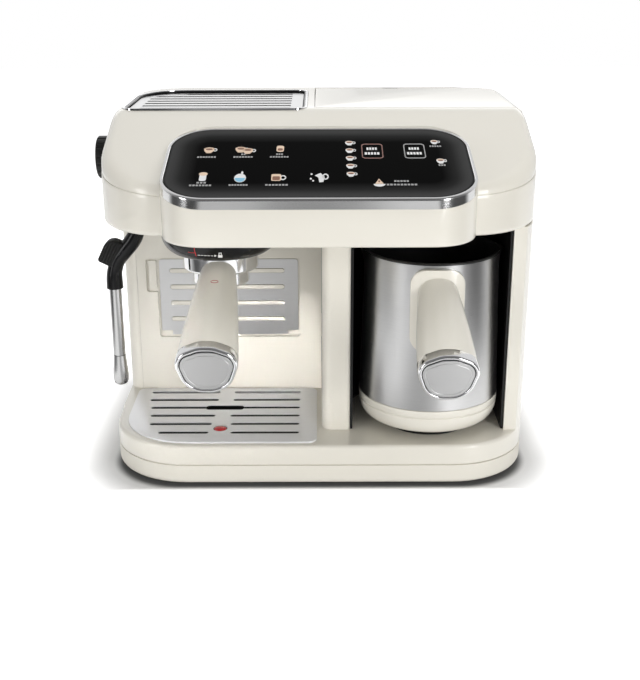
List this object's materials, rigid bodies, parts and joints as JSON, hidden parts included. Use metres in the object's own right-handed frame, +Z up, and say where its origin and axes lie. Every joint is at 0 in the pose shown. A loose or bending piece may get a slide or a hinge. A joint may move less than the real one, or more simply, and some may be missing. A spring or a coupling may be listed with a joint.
{
  "type": "coffee maker",
  "caption": "Countertop espresso and Turkish coffee maker with a glass touch panel, filter holder, steam wand, lift-out tank, drip tray and a handled pot in its own bay.",
  "frame": {"origin": "centre of the base's footprint, on the surface that it stands on", "axes": "+X to the right as seen from the front, +Y to the back, +Z up"},
  "size_m": [0.378, 0.3638, 0.3036],
  "materials": {
    "cream_gloss": "gloss cream",
    "cream_satin": "satin cream",
    "black_gloss": "gloss black",
    "black_satin": "satin black",
    "black_coating": "satin non-stick coating",
    "panel_glass": "black gloss glass",
    "brushed": "brushed",
    "chrome": "polished",
    "rubber": "matt",
    "clear_tank": "clear smoked plastic",
    "white_plastic": "satin white",
    "red_plastic": "gloss red",
    "cast_metal": "as cast",
    "brass": "machined",
    "copper_pipe": "bright",
    "board_green": "solder mask",
    "screw_steel": "zinc",
    "hose_rubber": "translucent silicone",
    "pump_metal": "satin",
    "meter_plastic": "satin"
  },
  "bodies": {
    "machine": {"feet": "rubber", "base_pan": "cream_satin", "base_shell": "cream_gloss", "case_screws": "screw_steel", "left_side_panel": "cream_gloss", "right_side_panel": "cream_gloss", "rear_cover": "cream_satin", "bay_panel": "cream_gloss", "splash_plate": "brushed", "pillar_trim": "cream_gloss", "chamber_liner": "black_satin", "pot_seat": "black_satin", "head_shell": "cream_gloss", "head_floor": "cream_satin", "nose_shell": "cream_gloss", "display_bezel": "chrome", "display_glass": "panel_glass", "touch_board": "board_green", "cup_grille": "brushed", "grille_pan": "chrome", "tank_shelf": "white_plastic", "tank_socket": "black_satin", "cable_gland": "black_satin", "pump": "pump_metal", "pump_mounts": "rubber", "thermoblock": "cast_metal", "flow_meter": "meter_plastic", "control_board": "board_green", "suction_hose": "hose_rubber", "pressure_hose": "hose_rubber", "steam_pipes": "copper_pipe", "group_head": "cast_metal", "group_collar": "black_gloss", "group_gasket": "rubber", "shower_screen": "brushed", "steam_valve": "brass", "wand_socket": "black_satin"},
    "tank": {"water_tank": "clear_tank"},
    "lid": {"tank_lid": "cream_gloss"},
    "knob": {"steam_knob": "black_satin"},
    "wand": {"wand_arm": "black_gloss", "wand_grip": "rubber", "wand_tube": "brushed", "wand_tip": "chrome"},
    "portafilter": {"filter_holder": "chrome", "filter_basket": "brushed", "filter_spout": "chrome", "filter_handle": "cream_gloss", "filter_ring": "chrome", "filter_disc": "brushed"},
    "pot": {"pot_shell": "brushed", "pot_liner": "black_coating", "pot_base": "cream_gloss", "pot_bracket": "cream_gloss", "pot_handle": "cream_gloss", "pot_ring": "chrome", "pot_disc": "brushed"},
    "bin": {"drip_bin": "white_plastic"},
    "grid": {"drip_grid": "brushed"},
    "float": {"drip_float": "red_plastic"}
  },
  "joints": [
    {"name": "tank_lift", "type": "slide", "parent": "machine", "child": "tank", "axis": [0, 0, 1], "range_m": [0, 0.15]},
    {"name": "lid_hinge", "type": "hinge", "parent": "tank", "child": "lid", "pos_m": [0.071, 0.12945, 0.30035], "axis": [-1, 0, 0], "range_deg": [0, 90]},
    {"name": "steam_knob_turn", "type": "hinge", "parent": "machine", "child": "knob", "pos_m": [-0.18, 0.005, 0.257], "axis": [-1, 0, 0], "range_deg": [0, 270]},
    {"name": "wand_swivel", "type": "hinge", "parent": "machine", "child": "wand", "pos_m": [-0.153, -0.0795, 0.22], "axis": [0, 0, 1], "range_deg": [-45, 70]},
    {"name": "portafilter_turn", "type": "hinge", "parent": "machine", "child": "portafilter", "pos_m": [-0.0835, -0.0795, 0.2], "axis": [0, 0, 1], "range_deg": [-42, 0]},
    {"name": "pot_slide", "type": "slide", "parent": "machine", "child": "pot", "axis": [0, -1, 0], "range_m": [0, 0.15]},
    {"name": "drip_tray_lift", "type": "slide", "parent": "machine", "child": "bin", "axis": [0, 0, 1], "range_m": [0, 0.0225]},
    {"name": "grid_lift", "type": "slide", "parent": "bin", "child": "grid", "axis": [0, 0, 1], "range_m": [0, 0.005]},
    {"name": "float_rise", "type": "slide", "parent": "bin", "child": "float", "axis": [0, 0, 1], "range_m": [0, 0.005]}
  ]
}
